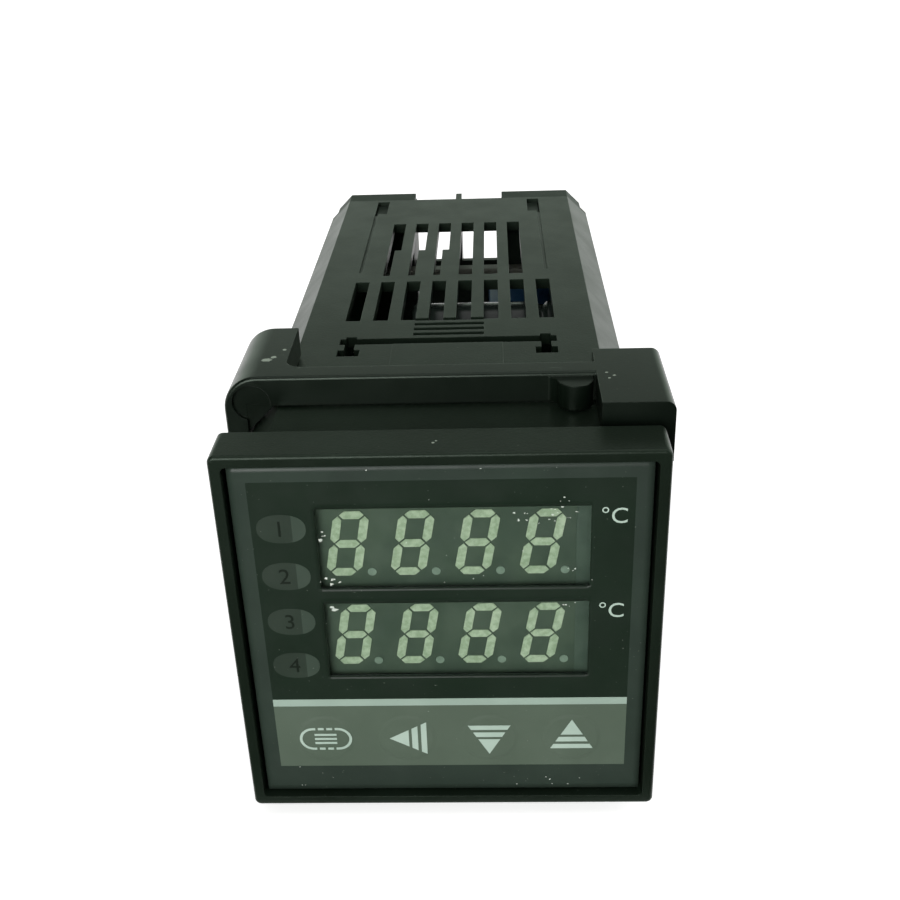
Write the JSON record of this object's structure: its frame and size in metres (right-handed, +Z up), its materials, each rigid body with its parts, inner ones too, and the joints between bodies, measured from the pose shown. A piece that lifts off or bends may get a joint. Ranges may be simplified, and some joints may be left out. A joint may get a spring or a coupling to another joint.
{
  "type": "panel-mounting temperature controller",
  "caption": "Square-fronted panel temperature controller: vented case, twin digital displays, four film keys, rear screw terminals and a slide-on clamp bracket.",
  "frame": {"origin": "on the instrument's axis, in the plane of the flange's rear face where the panel goes", "axes": "+X right as the user faces the front, +Y rearwards into the panel, +Z up"},
  "size_m": [0.0504, 0.104, 0.052],
  "materials": {
    "case_plastic": "moulded black ABS, fine satin grain",
    "strip_plastic": "moulded black terminal plastic",
    "plated_contact": "nickel-plated brass",
    "screw_steel": "zinc-plated steel",
    "bracket_plastic": "moulded black polycarbonate",
    "bezel_plastic": "moulded black ABS",
    "printed_film": "printed polyester film, fine satin",
    "clear_lens": "clear moulded acrylic",
    "display_face": "grey-painted display face",
    "segment_diffuser": "milky epoxy light bars, unlit",
    "light_guide": "frosted acrylic",
    "led_epoxy": "milky epoxy",
    "circuit_board": "glass-epoxy board with green solder resist",
    "switch_body": "moulded black nylon",
    "nylon": "natural nylon",
    "capacitor_sleeve": "dark grey shrink sleeve on an aluminium can",
    "blue_relay": "moulded blue plastic",
    "ferrite": "sintered ferrite",
    "winding_tape": "polyester tape over enamelled wire",
    "key_plastic": "moulded black acetal"
  },
  "bodies": {
    "housing": {"housing": "case_plastic", "terminal_strip_right": "strip_plastic", "terminal_strip_left": "strip_plastic", "terminal_plates_right": "plated_contact", "terminal_plates_left": "plated_contact", "terminal_screws_right": "screw_steel", "terminal_screws_left": "screw_steel"},
    "bracket": {"mounting_bracket": "bracket_plastic"},
    "chassis": {"front_panel": "bezel_plastic", "latch_arms": "bezel_plastic", "front_film": "printed_film", "display_lenses": "clear_lens", "upper_display": "display_face", "upper_segments": "segment_diffuser", "lower_display": "display_face", "lower_segments": "segment_diffuser", "light_guides": "light_guide", "indicator_leds": "led_epoxy", "display_board": "circuit_board", "tact_switches": "switch_body", "power_board": "circuit_board", "control_board": "circuit_board", "board_headers": "switch_body", "board_spacer": "nylon", "main_capacitor": "capacitor_sleeve", "small_capacitors": "capacitor_sleeve", "output_relay": "blue_relay", "alarm_relays": "switch_body", "transformer_core": "ferrite", "transformer_winding": "winding_tape", "varistor": "blue_relay", "microcontroller": "switch_body", "amplifiers": "switch_body"},
    "key_set": {"set_key": "key_plastic", "set_stem": "key_plastic"},
    "key_shift": {"shift_key": "key_plastic", "shift_stem": "key_plastic"},
    "key_down": {"down_key": "key_plastic", "down_stem": "key_plastic"},
    "key_up": {"up_key": "key_plastic", "up_stem": "key_plastic"}
  },
  "joints": [
    {"name": "bracket_slide", "type": "slide", "parent": "housing", "child": "bracket", "axis": [0, 1, 0], "range_m": [-0.0012, 0.068]},
    {"name": "chassis_draw_out", "type": "slide", "parent": "housing", "child": "chassis", "axis": [0, -1, 0], "range_m": [0, 0.08]},
    {"name": "set_key_press", "type": "slide", "parent": "chassis", "child": "key_set", "axis": [0, 1, 0], "range_m": [0, 0.0003], "stiffness_N_per_m": 3000},
    {"name": "shift_key_press", "type": "slide", "parent": "chassis", "child": "key_shift", "axis": [0, 1, 0], "range_m": [0, 0.0003], "stiffness_N_per_m": 3000},
    {"name": "down_key_press", "type": "slide", "parent": "chassis", "child": "key_down", "axis": [0, 1, 0], "range_m": [0, 0.0003], "stiffness_N_per_m": 3000},
    {"name": "up_key_press", "type": "slide", "parent": "chassis", "child": "key_up", "axis": [0, 1, 0], "range_m": [0, 0.0003], "stiffness_N_per_m": 3000}
  ]
}
